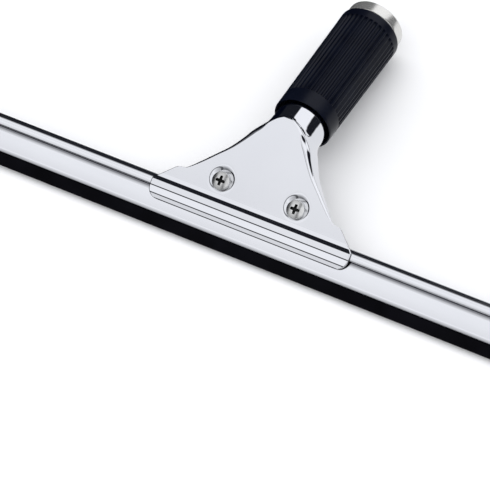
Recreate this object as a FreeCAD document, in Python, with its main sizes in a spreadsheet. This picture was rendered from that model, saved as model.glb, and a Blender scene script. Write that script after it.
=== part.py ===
import FreeCAD, Part
import math
import os
import Sketcher

# A quick-release window squeegee, lying on a table on its blade and the rim of its handle.
#
# Every piece is drawn in the plate's own frame: X along the channel, Y up the front plate from
# the jaw's lower edge, Z out of the front plate. One placement then tilts the whole tool into
# its lying position. Lengths are millimetres and angles are degrees.

DOCUMENT = FreeCAD.newDocument("squeegee")

SIZES = {
    # front plate and jaw of the handle body
    "sheet": 1.2,
    "jaw_half": 54.3,
    "jaw_corner": 49.0,
    "jaw_slant": 9.5,
    "jaw_rise": 1.7,
    "low_crease": 2.3,
    "high_crease": 5.8,
    "crease_half": 0.4,
    "low_rise": 0.3,
    "middle_rise": 1.1,
    "step_low": 8.8,
    "step_high": 11.0,
    "flat_start": 13.4,
    "ramp_rise": 0.35,
    "ear_half": 44.8,
    "ear_reach": 18.4,
    "ear_root": 39.5,
    "ear_shoulder": 20.0,
    "side_bow": 78.0,
    "apex_half": 7.6,
    "apex_reach": 54.0,
    "apex_round": 8.2,
    # neck and tube
    "neck_depth": 19.0,
    "flank_start": 14.0,
    "flank_end": 51.0,
    "handle_bend": 37.3,
    "axis_reach": 51.3,
    "axis_drop": 13.6,
    "tube_round": 13.3,
    "tube_bore": 11.8,
    "tube_start": -4.0,
    "tube_end": 79.6,
    # rubber grip, end ferrule and pole socket
    "grip_start": 10.3,
    "grip_end": 79.7,
    "grip_bore": 13.35,
    "grip_low": 15.3,
    "grip_high": 16.2,
    "grip_rim": 0.7,
    "rib_start": 19.1,
    "rib_end": 74.9,
    "rib_depth": 0.8,
    "rib_width": 1.7,
    "rib_count": 36,
    "fit_gap": 0.1,
    "ferrule_end": 86.6,
    "ferrule_round": 15.1,
    "ferrule_spigot": 11.75,
    "ferrule_bore": 11.05,
    "ferrule_inset": 14.0,
    "ferrule_chamfer": 1.2,
    "liner_round": 11.0,
    "socket_round": 10.0,
    "socket_floor": 26.0,
    "liner_floor": 23.0,
    "liner_inset": 0.4,
    # screws, nuts and the domes they rock on
    "screw_half": 20.4,
    "screw_reach": 19.4,
    "dome_centre": 6.03,
    "bowl_round": 8.23,
    "dome_round": 9.43,
    "dome_cut": -45.0,
    "shank_hole": 2.7,
    "head_round": 4.5,
    "head_seat": -0.8,
    "head_height": 2.6,
    "shank_round": 2.45,
    "shank_chamfer": 0.8,
    "shank_end": -10.9,
    "cross_half": 0.55,
    "cross_reach": 2.5,
    "cross_depth": 1.5,
    "nut_face": -5.2,
    "nut_height": 4.0,
    "nut_corner": 4.6,
    "nut_bore": 2.5,
    # rocking clip behind the plate
    "clip_sheet": 1.2,
    "clip_face": -2.1,
    "clip_half": 51.0,
    "clip_jaw": -8.5,
    "clip_low": 1.4,
    "clip_lip": -1.0,
    "clip_lip_drop": -9.9,
    "clip_step_low": 10.1,
    "clip_step_high": 13.2,
    "clip_bend": 24.5,
    "clip_tail": 43.0,
    "clip_tail_drop": -11.0,
    "clip_curl": 46.5,
    "clip_curl_drop": -9.0,
    "clip_shoulder": 36.0,
    "clip_shoulder_reach": 16.0,
    "clip_waist": 11.0,
    "clip_waist_reach": 33.0,
    "clip_tab": 8.4,
    "clip_side_bow": 40.0,
    "clip_dome_bore": 9.73,
    "clip_dome_round": 10.93,
    "clip_dome_cut": -53.0,
    "clip_hole": 3.9,
    # return spring
    "spring_reach": 36.0,
    "spring_wire": 0.45,
    "spring_round": 3.1,
    "spring_pitch": 1.24,
    "spring_height": 3.1,
    "cup_round": 4.6,
    "cup_bore": 3.9,
    "cup_height": 1.3,
    "cup_floor": 0.5,
    "cup_gap": 0.02,
    "spring_gap": 0.1,
    "rivet_round": 2.4,
    "rivet_stem": 1.2,
    "rivet_hole": 1.6,
    "rivet_head": 0.8,
    "rivet_seat": 1.5,
    "rivet_tip": 1.2,
    # channel, blade and end clips
    "channel_half": 175.0,
    "channel_middle": -4.1,
    "bead_reach": 7.4,
    "spine_low": 5.9,
    "spine_half": 4.1,
    "spine_inner": 3.3,
    "leg_half": 2.7,
    "leg_inner": 1.9,
    "leg_low": -6.3,
    "channel_wall": 0.8,
    "channel_hole": 3.4,
    "channel_hole_half": 53.5,
    "channel_hole_reach": 0.2,
    "blade_half": 177.0,
    "bulb_low": 6.4,
    "bulb_half": 2.3,
    "web_half": 1.75,
    "lip_start": -6.9,
    "lip_half": 2.3,
    "lip_end": -12.7,
    "lip_tip_half": 1.6,
    "end_clip_length": 12.0,
    "end_clip_flange": 1.0,
    "end_clip_bore": 2.45,
    "end_clip_arch": 3.15,
    # lying position
    "lying_tilt": 30.4,
    "lying_shift": -64.55,
    "lying_lift": 11.34,
    # half the square that outlines are cut from
    "beyond": 200.0,
}


def make_sheet():
    sheet = DOCUMENT.addObject("Spreadsheet::Sheet", "sizes")
    for row, (alias, number) in enumerate(SIZES.items(), start=1):
        sheet.set("A%d" % row, alias)
        sheet.set("B%d" % row, str(number))
        sheet.setAlias("B%d" % row, alias)
    DOCUMENT.recompute()
    return sheet


SHEET = make_sheet()


def number_of(term):
    """The number that one term, such as 2.5, sheet or sheet*0.5, stands for."""
    product = 1.0
    for factor in term.split("*"):
        product *= SIZES[factor] if factor in SIZES else float(factor)
    return product


def value(formula):
    """The number that a formula of terms joined by ' + ' and ' - ' stands for."""
    total = 0.0
    sign = 1.0
    for word in formula.split():
        if word in "+-":
            sign = -1.0 if word == "-" else 1.0
        elif word.startswith("-"):
            total -= number_of(word[1:])
        else:
            total += sign * number_of(word)
    return total


def linked(formula):
    """The same formula as an expression that reads the spreadsheet."""
    words = []
    for word in formula.split():
        lead = "-" if word.startswith("-") and len(word) > 1 else ""
        factors = []
        for factor in word[len(lead):].split("*"):
            factors.append("sizes." + factor if factor in SIZES else factor)
        words.append(lead + "*".join(factors))
    return " ".join(words)


def negated(formula):
    """The same formula with every sign turned."""
    words = []
    for word in formula.split():
        if word in "+-":
            words.append("-" if word == "+" else "+")
        else:
            words.append(word)
    words[0] = words[0][1:] if words[0].startswith("-") else "-" + words[0]
    return " ".join(words)


def bind(thing, **formulas):
    for prop, formula in formulas.items():
        setattr(thing, prop, value(formula))
        thing.setExpression(prop, linked(formula))


def new_body(label):
    body = DOCUMENT.addObject("PartDesign::Body", label)
    body.Label = label
    return body


def plane(body, role):
    for feature in body.Origin.OriginFeatures:
        if feature.Role == role:
            return feature
    raise ValueError(role)


def new_sketch(body, name, role, offset=(0.0, 0.0, 0.0)):
    sketch = body.newObject("Sketcher::SketchObject", name)
    sketch.AttachmentSupport = (plane(body, role), [""])
    sketch.MapMode = "FlatFace"
    sketch.AttachmentOffset = FreeCAD.Placement(FreeCAD.Vector(*offset), FreeCAD.Rotation())
    return sketch


def arc_between(start, end, radius):
    """The arc from start to end; a positive radius turns left, a negative one turns right."""
    chord = end.sub(start)
    middle = start.add(end).multiply(0.5)
    left = FreeCAD.Vector(-chord.y, chord.x, 0.0).normalize()
    height = math.sqrt(radius * radius - chord.Length * chord.Length / 4.0)
    centre = middle.add(left.multiply(math.copysign(height, radius)))
    circle = Part.Circle(centre, FreeCAD.Vector(0, 0, 1), abs(radius))
    first = math.atan2(start.y - centre.y, start.x - centre.x)
    last = math.atan2(end.y - centre.y, end.x - centre.x)
    if radius > 0:
        return Part.ArcOfCircle(circle, first, last), 1, 2
    return Part.ArcOfCircle(circle, last, first), 2, 1


def fix_point(sketch, geometry, point, formulas):
    """Ties one point of a sketch to its two formulas, or to an axis where one is zero."""
    for kind, axis, formula in (("DistanceX", -2, formulas[0]), ("DistanceY", -1, formulas[1])):
        if formula == "0":
            sketch.addConstraint(Sketcher.Constraint("PointOnObject", geometry, point, axis))
            continue
        rule = Sketcher.Constraint(kind, -1, 1, geometry, point, value(formula))
        index = sketch.addConstraint(rule)
        sketch.setExpression("Constraints[%d]" % index, linked(formula))


def add_loop(sketch, corners):
    """Draws a closed loop. A corner is (x, y) or (x, y, radius of the arc to the next one)."""
    points = [FreeCAD.Vector(value(c[0]), value(c[1]), 0.0) for c in corners]
    edges = []
    for index, corner in enumerate(corners):
        start = points[index]
        end = points[(index + 1) % len(points)]
        if len(corner) == 3:
            shape, first, last = arc_between(start, end, value(corner[2]))
        else:
            shape, first, last = Part.LineSegment(start, end), 1, 2
        edges.append((sketch.addGeometry(shape, False), first, last))
    for index, (geometry, first, last) in enumerate(edges):
        following, next_first, _ = edges[(index + 1) % len(edges)]
        sketch.addConstraint(
            Sketcher.Constraint("Coincident", geometry, last, following, next_first))
    for corner, (geometry, first, _) in zip(corners, edges):
        fix_point(sketch, geometry, first, corner)
        if len(corner) == 3:
            radius = Sketcher.Constraint("Radius", geometry, abs(value(corner[2])))
            index = sketch.addConstraint(radius)
            size = corner[2] if value(corner[2]) > 0 else negated(corner[2])
            sketch.setExpression("Constraints[%d]" % index, linked(size))


def add_circle(sketch, formulas, radius):
    centre = FreeCAD.Vector(value(formulas[0]), value(formulas[1]), 0.0)
    circle = Part.Circle(centre, FreeCAD.Vector(0, 0, 1), value(radius))
    geometry = sketch.addGeometry(circle, False)
    fix_point(sketch, geometry, 3, formulas)
    index = sketch.addConstraint(Sketcher.Constraint("Radius", geometry, value(radius)))
    sketch.setExpression("Constraints[%d]" % index, linked(radius))


def pad(body, name, sketch, length, midplane=False, reverse=False):
    feature = body.newObject("PartDesign::Pad", name)
    feature.Profile = sketch
    feature.Midplane = midplane
    feature.Reversed = reverse
    bind(feature, Length=length)
    DOCUMENT.recompute()
    return feature


def turned(body, name, section):
    """Turns a half section, given as (distance from the axis, height), about the Z axis."""
    sketch = new_sketch(body, name + "_section", "XZ_Plane")
    add_loop(sketch, section)
    feature = body.newObject("PartDesign::Revolution", name)
    feature.Profile = sketch
    feature.ReferenceAxis = (sketch, ["V_Axis"])
    feature.Angle = 360.0
    DOCUMENT.recompute()
    return feature


def pocket(body, name, sketch, depth, reverse=False):
    feature = body.newObject("PartDesign::Pocket", name)
    feature.Profile = sketch
    feature.Reversed = reverse
    bind(feature, Length=depth)
    DOCUMENT.recompute()
    return feature


def pocket_through(body, name, sketch):
    feature = body.newObject("PartDesign::Pocket", name)
    feature.Profile = sketch
    feature.Type = "ThroughAll"
    feature.Midplane = True
    DOCUMENT.recompute()
    return feature


def mirrored(corners, flip=0):
    """Half a path and its mirror image; flip is 0 across the Y axis and 1 across the X axis."""
    whole = list(corners)
    backward = list(reversed(corners))
    for index, corner in enumerate(backward):
        if corner[flip] == "0":
            if index + 1 < len(backward) and len(backward[index + 1]) == 3:
                whole[-1] = (corner[0], corner[1], backward[index + 1][2])
            continue
        flipped = [corner[0], corner[1]]
        flipped[flip] = negated(corner[flip])
        following = backward[index + 1] if index + 1 < len(backward) else ()
        whole.append(tuple(flipped) + tuple(following[2:]))
    return whole


def other_side(path):
    """The mirror image of a path across the Y axis."""
    turned_over = []
    for corner in path:
        arc = [negated(radius) for radius in corner[2:]]
        turned_over.append((negated(corner[0]), corner[1], *arc))
    return turned_over


def backwards(path):
    """The same path, walked from its end to its start."""
    turned = []
    for index in range(len(path) - 1, -1, -1):
        arc = path[index - 1][2:] if index > 0 else ()
        turned.append(tuple(path[index][:2]) + tuple(negated(radius) for radius in arc))
    return turned


def keep_outline(body, name, corners):
    """Cuts away all that lies outside an outline drawn on the plate."""
    sketch = new_sketch(body, name + "_outline", "XY_Plane")
    add_loop(sketch, [("-beyond", "-beyond"), ("beyond", "-beyond"),
                      ("beyond", "beyond"), ("-beyond", "beyond")])
    add_loop(sketch, corners)
    return pocket_through(body, name, sketch)


def sphere(body, kind, name, side, radius, upper_angle):
    """Adds or cuts a sphere, or its lower cap, centred on one rocking point."""
    feature = body.newObject("PartDesign::%sSphere" % kind, name)
    bind(feature, Radius=radius)
    if upper_angle is not None:
        feature.Angle1 = -90.0
        bind(feature, Angle2=upper_angle)
    centre = (side * SIZES["screw_half"], SIZES["screw_reach"], SIZES["dome_centre"])
    feature.Placement = FreeCAD.Placement(FreeCAD.Vector(*centre), FreeCAD.Rotation())
    DOCUMENT.recompute()
    return feature


def holes_for_screws(body, name, radius):
    sketch = new_sketch(body, name + "_circles", "XY_Plane")
    add_circle(sketch, ("screw_half", "screw_reach"), radius)
    add_circle(sketch, ("-screw_half", "screw_reach"), radius)
    return pocket_through(body, name, sketch)


def lying(local=None):
    """The placement that lays the tool down, after a piece's own local placement."""
    lay = FreeCAD.Placement(
        FreeCAD.Vector(0, SIZES["lying_shift"], SIZES["lying_lift"]),
        FreeCAD.Rotation(FreeCAD.Vector(1, 0, 0), SIZES["lying_tilt"]))
    return lay if local is None else lay.multiply(local)


def along_handle(distance=0.0):
    """A local placement whose Z axis runs up the handle, this far from the bend."""
    turn = FreeCAD.Rotation(FreeCAD.Vector(1, 0, 0), -90.0 - SIZES["handle_bend"])
    start = FreeCAD.Vector(0, SIZES["axis_reach"], -SIZES["axis_drop"])
    return FreeCAD.Placement(start.add(turn.multVec(FreeCAD.Vector(0, 0, distance))), turn)


def jaw_sheet_profile():
    """Side view of the pressed sheet: three strips of jaw, step over the spine, ramp and plate."""
    front = [
        ("0", "low_rise"),
        ("low_crease - crease_half", "low_rise + 0.25"),
        ("low_crease + crease_half", "middle_rise - 0.15"),
        ("high_crease - crease_half", "middle_rise"),
        ("high_crease + crease_half", "jaw_rise"),
        ("step_low", "jaw_rise"),
        ("step_high", "ramp_rise"),
        ("flat_start", "0"),
        ("apex_reach + 10", "0"),
    ]
    back = [
        ("apex_reach + 10", "-sheet"),
        ("flat_start - 0.2", "-sheet"),
        ("step_high - 0.7", "ramp_rise - sheet"),
        ("step_low - 0.6", "jaw_rise - sheet"),
        ("high_crease + crease_half", "jaw_rise - sheet"),
        ("high_crease - crease_half", "middle_rise - sheet"),
        ("low_crease + crease_half", "middle_rise - 0.15 - sheet"),
        ("low_crease - crease_half", "low_rise + 0.25 - sheet"),
        ("0", "low_rise - sheet"),
    ]
    return front + back


def handle_outline():
    return mirrored([
        ("jaw_corner", "0", "5.4"),
        ("jaw_half", "5.4"),
        ("jaw_half", "jaw_slant"),
        ("ear_half", "ear_reach", "2.2"),
        ("ear_half - 1.6", "ear_shoulder"),
        ("ear_root", "ear_shoulder", "-side_bow"),
        ("apex_half", "apex_reach", "apex_round"),
    ])


def make_handle_body():
    body = new_body("handle_body")
    profile = new_sketch(body, "body_profile", "YZ_Plane")
    add_loop(profile, jaw_sheet_profile())
    pad(body, "body_sheet", profile, "jaw_half*2 + 2", midplane=True)
    keep_outline(body, "body_trim", handle_outline())
    add_flanks(body)
    for side, word in ((-1, "left"), (1, "right")):
        sphere(body, "Additive", "body_dome_" + word, side, "dome_round", "dome_cut")
        sphere(body, "Subtractive", "body_bowl_" + word, side, "bowl_round", None)
    holes_for_screws(body, "body_holes", "shank_hole")
    add_tube(body)
    body.Placement = lying()
    return body


def add_flanks(body):
    """The plate's concave sides, rolled backward and growing towards the neck."""
    strip = [
        ("ear_root", "ear_shoulder", "-side_bow"),
        ("apex_half", "apex_reach"),
        ("apex_half - sheet", "apex_reach - 0.8", "side_bow"),
        ("ear_root - 3", "ear_shoulder"),
    ]
    for word, corners in (("right", strip), ("left", other_side(strip))):
        sketch = new_sketch(body, "flank_strip_" + word, "XY_Plane")
        add_loop(sketch, corners)
        pad(body, "flank_" + word, sketch, "neck_depth", reverse=True)
    cut = new_sketch(body, "flank_cut_profile", "YZ_Plane")
    add_loop(cut, [
        ("flank_start", "-sheet"),
        ("flank_end", "-neck_depth"),
        ("flank_end + 20", "-neck_depth"),
        ("flank_end + 20", "-neck_depth - 20"),
        ("flank_start", "-neck_depth - 20"),
    ])
    pocket_through(body, "flank_cut", cut)


def add_tube(body):
    """The round tube that the neck rolls into, drawn on a plane square to the handle."""
    sketch = body.newObject("Sketcher::SketchObject", "tube_section")
    sketch.Placement = along_handle(SIZES["tube_start"])
    add_circle(sketch, ("0", "0"), "tube_round")
    add_circle(sketch, ("0", "0"), "tube_bore")
    pad(body, "tube", sketch, "tube_end - tube_start")


def make_grip():
    body = new_body("rubber_grip")
    turned(body, "grip_sleeve", [
        ("grip_bore", "grip_start"),
        ("grip_low - grip_rim", "grip_start"),
        ("grip_low", "grip_start + grip_rim"),
        ("grip_high", "grip_end - grip_rim"),
        ("grip_high - grip_rim", "grip_end"),
        ("grip_bore", "grip_end"),
    ])
    groove_sketch = new_sketch(body, "groove_section", "XY_Plane", (0, 0, SIZES["rib_start"]))
    add_loop(groove_sketch, [
        ("-rib_width*0.4", "grip_low - rib_depth"),
        ("rib_width*0.4", "grip_low - rib_depth"),
        ("rib_width*0.55", "grip_high + 1"),
        ("-rib_width*0.55", "grip_high + 1"),
    ])
    groove = pocket(body, "groove", groove_sketch, "rib_end - rib_start", reverse=True)
    ribs = body.newObject("PartDesign::PolarPattern", "grooves")
    ribs.Originals = [groove]
    ribs.Axis = (groove_sketch, ["N_Axis"])
    ribs.Angle = 360.0
    ribs.Occurrences = int(SIZES["rib_count"])
    ribs.setExpression("Occurrences", "sizes.rib_count")
    body.Tip = ribs
    DOCUMENT.recompute()
    body.Placement = lying(along_handle())
    return body


def make_ferrule():
    """The plated collar at the handle's open end, with a spigot inside the tube."""
    body = new_body("end_ferrule")
    turned(body, "ferrule_ring", [
        ("ferrule_bore", "grip_end - ferrule_inset"),
        ("ferrule_spigot", "grip_end - ferrule_inset"),
        ("ferrule_spigot", "grip_end + fit_gap"),
        ("ferrule_round", "grip_end + fit_gap"),
        ("ferrule_round", "ferrule_end - ferrule_chamfer"),
        ("ferrule_round - ferrule_chamfer", "ferrule_end"),
        ("ferrule_bore", "ferrule_end"),
    ])
    body.Placement = lying(along_handle())
    return body


def make_pole_liner():
    """The plastic socket inside the tube that an extension pole's tip goes into."""
    body = new_body("pole_socket_liner")
    turned(body, "liner_cup", [
        ("0", "liner_floor"),
        ("liner_round", "liner_floor"),
        ("liner_round", "ferrule_end - liner_inset"),
        ("socket_round", "ferrule_end - liner_inset"),
        ("socket_round", "socket_floor"),
        ("0", "socket_floor"),
    ])
    body.Placement = lying(along_handle())
    return body


def make_screw(word, side):
    """A pan-head screw with a cross recess, its axis on the body's own Z axis."""
    body = new_body("screw_" + word)
    turned(body, "screw_turned_" + word, [
        ("0", "shank_end"),
        ("shank_round - shank_chamfer", "shank_end"),
        ("shank_round", "shank_end + shank_chamfer"),
        ("shank_round", "head_seat"),
        ("head_round", "head_seat"),
        ("head_round", "head_seat + head_height*0.4", "head_round"),
        ("head_round*0.42", "head_seat + head_height*0.93"),
        ("0", "head_seat + head_height"),
    ])
    top = SIZES["head_seat"] + SIZES["head_height"]
    recess = new_sketch(body, "cross_" + word, "XY_Plane", (0, 0, top))
    arm = "cross_half"
    tip = "cross_reach"
    add_loop(recess, [
        (arm, tip), ("-" + arm, tip), ("-" + arm, arm), ("-" + tip, arm),
        ("-" + tip, "-" + arm), ("-" + arm, "-" + arm), ("-" + arm, "-" + tip),
        (arm, "-" + tip), (arm, "-" + arm), (tip, "-" + arm), (tip, arm), (arm, arm),
    ])
    pocket(body, "cross_recess_" + word, recess, "cross_depth")
    place = FreeCAD.Vector(side * SIZES["screw_half"], SIZES["screw_reach"], 0)
    body.Placement = lying(FreeCAD.Placement(place, FreeCAD.Rotation()))
    return body


def make_nut(word, side):
    """A hexagon nut: a prism, rounded by a cone at each end and bored."""
    prism = DOCUMENT.addObject("Part::Prism", "nut_prism_" + word)
    prism.Polygon = 6
    bind(prism, Circumradius="nut_corner", Height="nut_height")
    low = DOCUMENT.addObject("Part::Cone", "nut_low_" + word)
    bind(low, Radius1="nut_corner - 0.5", Radius2="nut_corner - 0.5 + nut_height*1.7",
         Height="nut_height")
    high = DOCUMENT.addObject("Part::Cone", "nut_high_" + word)
    bind(high, Radius1="nut_corner - 0.5 + nut_height*1.7", Radius2="nut_corner - 0.5",
         Height="nut_height")
    bore = DOCUMENT.addObject("Part::Cylinder", "nut_bore_" + word)
    bind(bore, Radius="nut_bore", Height="nut_height")
    rounded = DOCUMENT.addObject("Part::MultiCommon", "nut_rounded_" + word)
    rounded.Shapes = [prism, low, high]
    nut = DOCUMENT.addObject("Part::Cut", "nut_" + word)
    nut.Label = "nut_" + word
    nut.Base = rounded
    nut.Tool = bore
    DOCUMENT.recompute()
    place = FreeCAD.Vector(side * SIZES["screw_half"], SIZES["screw_reach"],
                           SIZES["nut_face"] - SIZES["nut_height"])
    turn = FreeCAD.Rotation(FreeCAD.Vector(0, 0, 1), 12.0 * side)
    nut.Placement = lying(FreeCAD.Placement(place, turn))
    return nut


def clip_profile():
    """Side view of the clip: lip, jaw strip, step, flat, rising tab and curled tail."""
    inside = [
        ("clip_lip", "clip_lip_drop"),
        ("clip_low", "clip_jaw"),
        ("clip_step_low", "clip_jaw"),
        ("clip_step_high", "clip_face"),
        ("clip_bend", "clip_face"),
        ("clip_tail", "clip_tail_drop"),
        ("clip_curl", "clip_curl_drop"),
    ]
    outside = [
        ("clip_curl + 0.6", "clip_curl_drop - clip_sheet"),
        ("clip_tail", "clip_tail_drop - clip_sheet*1.1"),
        ("clip_bend - 0.2", "clip_face - clip_sheet"),
        ("clip_step_high + 0.7", "clip_face - clip_sheet"),
        ("clip_step_low + 0.8", "clip_jaw - clip_sheet"),
        ("clip_low - 0.1", "clip_jaw - clip_sheet"),
        ("clip_lip - 0.5", "clip_lip_drop - clip_sheet"),
    ]
    return inside + outside


def clip_outline():
    return mirrored([
        ("clip_half - 3", "clip_lip - 1"),
        ("clip_half - 3", "clip_low - 1", "3.2"),
        ("clip_half", "clip_low + 2.2"),
        ("clip_half", "clip_step_low - 1", "3.2"),
        ("clip_half - 2.8", "clip_step_low + 1.6"),
        ("clip_shoulder", "clip_shoulder_reach", "-clip_side_bow"),
        ("clip_waist", "clip_waist_reach"),
        ("clip_tab", "clip_tail - 4"),
        ("clip_tab", "clip_curl - 3", "4.4"),
        ("clip_tab - 4.2", "clip_curl + 1"),
    ])


def make_clip_plate():
    body = new_body("clip_plate")
    profile = new_sketch(body, "clip_side", "YZ_Plane")
    add_loop(profile, clip_profile())
    pad(body, "clip_sheet_metal", profile, "clip_half*2 + 2", midplane=True)
    keep_outline(body, "clip_trim", clip_outline())
    for side, word in ((-1, "left"), (1, "right")):
        sphere(body, "Additive", "clip_dome_" + word, side, "clip_dome_round", "clip_dome_cut")
        sphere(body, "Subtractive", "clip_bowl_" + word, side, "clip_dome_bore", None)
    holes_for_screws(body, "clip_holes", "clip_hole")
    rivet_hole = new_sketch(body, "rivet_hole_circle", "XY_Plane")
    add_circle(rivet_hole, ("0", "spring_reach"), "rivet_hole")
    pocket_through(body, "rivet_hole", rivet_hole)
    body.Placement = lying()
    return body


def clip_under():
    """The height of the clip's inner face where the spring stands."""
    rise = SIZES["clip_face"] - SIZES["clip_tail_drop"]
    share = (SIZES["spring_reach"] - SIZES["clip_bend"]) / (SIZES["clip_tail"] - SIZES["clip_bend"])
    return SIZES["clip_face"] - rise * share


def make_spring_cup():
    """A shallow dish pressed onto the plate's back, which keeps the spring in place."""
    body = new_body("spring_cup")
    turned(body, "cup_dish", [
        ("0", "0"),
        ("cup_round", "0"),
        ("cup_round", "cup_height"),
        ("cup_bore", "cup_height"),
        ("cup_bore", "cup_floor"),
        ("0", "cup_floor"),
    ])
    place = FreeCAD.Vector(0, SIZES["spring_reach"], -SIZES["sheet"] - SIZES["cup_gap"])
    turn = FreeCAD.Rotation(FreeCAD.Vector(1, 0, 0), 180.0)
    body.Placement = lying(FreeCAD.Placement(place, turn))
    return body


def make_return_spring():
    """The coil spring between the cup and the clip, swept along a helix."""
    helix = DOCUMENT.addObject("Part::Helix", "spring_helix")
    bind(helix, Pitch="spring_pitch", Height="spring_height", Radius="spring_round")
    wire = DOCUMENT.addObject("Part::Circle", "spring_wire_circle")
    bind(wire, Radius="spring_wire")
    wire.Placement = FreeCAD.Placement(
        FreeCAD.Vector(SIZES["spring_round"], 0, 0),
        FreeCAD.Rotation(FreeCAD.Vector(1, 0, 0), 90.0))
    DOCUMENT.recompute()
    spring = DOCUMENT.addObject("Part::Sweep", "return_spring")
    spring.Label = "return_spring"
    spring.Sections = [wire]
    spring.Spine = (helix, ["Edge1"])
    spring.Solid = True
    spring.Frenet = True
    DOCUMENT.recompute()
    cup_inside = -SIZES["sheet"] - SIZES["cup_floor"]
    base = cup_inside - SIZES["spring_wire"] - SIZES["spring_gap"]
    place = FreeCAD.Vector(0, SIZES["spring_reach"], base)
    turn = FreeCAD.Rotation(FreeCAD.Vector(1, 0, 0), 180.0)
    spring.Placement = lying(FreeCAD.Placement(place, turn))
    return spring


def make_spring_rivet():
    """The rivet through the clip that locates the spring's outer end."""
    body = new_body("spring_rivet")
    turned(body, "rivet_turned", [
        ("0", "-rivet_tip"),
        ("rivet_stem", "-rivet_tip"),
        ("rivet_stem", "rivet_seat"),
        ("rivet_round", "rivet_seat"),
        ("rivet_round*0.7", "rivet_seat + rivet_head"),
        ("0", "rivet_seat + rivet_head"),
    ])
    rise = SIZES["clip_face"] - SIZES["clip_tail_drop"]
    run = SIZES["clip_tail"] - SIZES["clip_bend"]
    slope = math.degrees(math.atan2(rise, run))
    place = FreeCAD.Vector(0, SIZES["spring_reach"], clip_under())
    turn = FreeCAD.Rotation(FreeCAD.Vector(1, 0, 0), 180.0 - slope)
    body.Placement = lying(FreeCAD.Placement(place, turn))
    return body


def channel_path(spine, leg):
    """Outline of the channel's outer or inner face, from its front leg round to its back leg."""
    return mirrored([
        ("leg_low", leg),
        ("spine_low - 0.9", leg),
        ("spine_low", spine),
        ("bead_reach", spine, "-" + spine),
        ("bead_reach + " + spine, "0"),
    ], flip=1)


def make_channel():
    body = new_body("channel")
    offset = (0, SIZES["channel_middle"], 0)
    sketch = new_sketch(body, "channel_section", "YZ_Plane", offset)
    outer = channel_path("spine_half", "leg_half")
    inner = channel_path("spine_inner", "leg_inner")
    add_loop(sketch, outer + backwards(inner))
    pad(body, "channel_rail", sketch, "channel_half*2", midplane=True)
    holes = new_sketch(body, "channel_hole_circles", "XY_Plane", (0, 0, SIZES["channel_middle"]))
    for sign in ("", "-"):
        add_circle(holes, (sign + "channel_hole_half", "channel_hole_reach"), "channel_hole")
    pocket(body, "channel_holes", holes, "leg_half + 1")
    body.Placement = lying()
    return body


def make_blade():
    body = new_body("rubber_blade")
    sketch = new_sketch(body, "blade_section", "YZ_Plane", (0, SIZES["channel_middle"], 0))
    side = [
        ("lip_end", "lip_tip_half"),
        ("lip_start", "lip_half"),
        ("lip_start + 0.4", "web_half"),
        ("bulb_low", "web_half"),
        ("bulb_low + 0.6", "bulb_half"),
        ("bead_reach", "bulb_half", "-bulb_half"),
        ("bead_reach + bulb_half", "0"),
    ]
    add_loop(sketch, mirrored(side, flip=1))
    pad(body, "blade_strip", sketch, "blade_half*2", midplane=True)
    body.Placement = lying()
    return body


def end_clip_path(spine):
    """Section of the end clip: an arch between the blade's bead and the channel's spine."""
    over = mirrored([
        ("bulb_low + 0.4", spine),
        ("bead_reach", spine, "-" + spine),
        ("bead_reach + " + spine, "0"),
    ], flip=1)
    under = mirrored([
        ("bulb_low + 0.4", "end_clip_bore"),
        ("bead_reach", "end_clip_bore", "-end_clip_bore"),
        ("bead_reach + end_clip_bore", "0"),
    ], flip=1)
    return over + backwards(under)


def make_end_clip(word, side):
    """A small spring clip over the bead, with a flange against the channel's end."""
    body = new_body("end_clip_" + word)
    for name, start, length, spine in (
            ("insert", 0.0, "end_clip_length", "end_clip_arch"),
            ("flange", SIZES["end_clip_length"], "end_clip_flange", "spine_half")):
        sketch = new_sketch(body, "clip_%s_%s" % (name, word), "YZ_Plane",
                            (0, SIZES["channel_middle"], start))
        add_loop(sketch, end_clip_path(spine))
        pad(body, "end_%s_%s" % (name, word), sketch, length)
    start = FreeCAD.Vector(SIZES["channel_half"] - SIZES["end_clip_length"], 0, 0)
    if side > 0:
        local = FreeCAD.Placement(start, FreeCAD.Rotation())
    else:
        turn = FreeCAD.Rotation(FreeCAD.Vector(0, 1, 0), 180.0)
        middle = FreeCAD.Vector(-start.x, 0, 2 * SIZES["channel_middle"])
        local = FreeCAD.Placement(middle, turn)
    body.Placement = lying(local)
    return body


def check(thing):
    shape = thing.Shape
    if "Invalid" in thing.State or "Error" in thing.State or shape.isNull() or not shape.isValid():
        raise RuntimeError("%s is not a sound solid: %s" % (thing.Label, thing.State))
    if not shape.Solids:
        raise RuntimeError("%s holds no solid" % thing.Label)


def write(things):
    os.makedirs("parts", exist_ok=True)
    for thing in things:
        check(thing)
        thing.Shape.exportStep("parts/%s.step" % thing.Label)


def main():
    pieces = [
        make_handle_body(),
        make_grip(),
        make_ferrule(),
        make_pole_liner(),
        make_clip_plate(),
        make_spring_cup(),
        make_return_spring(),
        make_spring_rivet(),
        make_channel(),
        make_blade(),
    ]
    for word, side in (("left", -1), ("right", 1)):
        pieces.append(make_screw(word, side))
        pieces.append(make_nut(word, side))
        pieces.append(make_end_clip(word, side))
    DOCUMENT.recompute()
    write(pieces)


main()
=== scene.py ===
import math

import bmesh
import bpy
import numpy as np
from mathutils import Matrix, Vector


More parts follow.
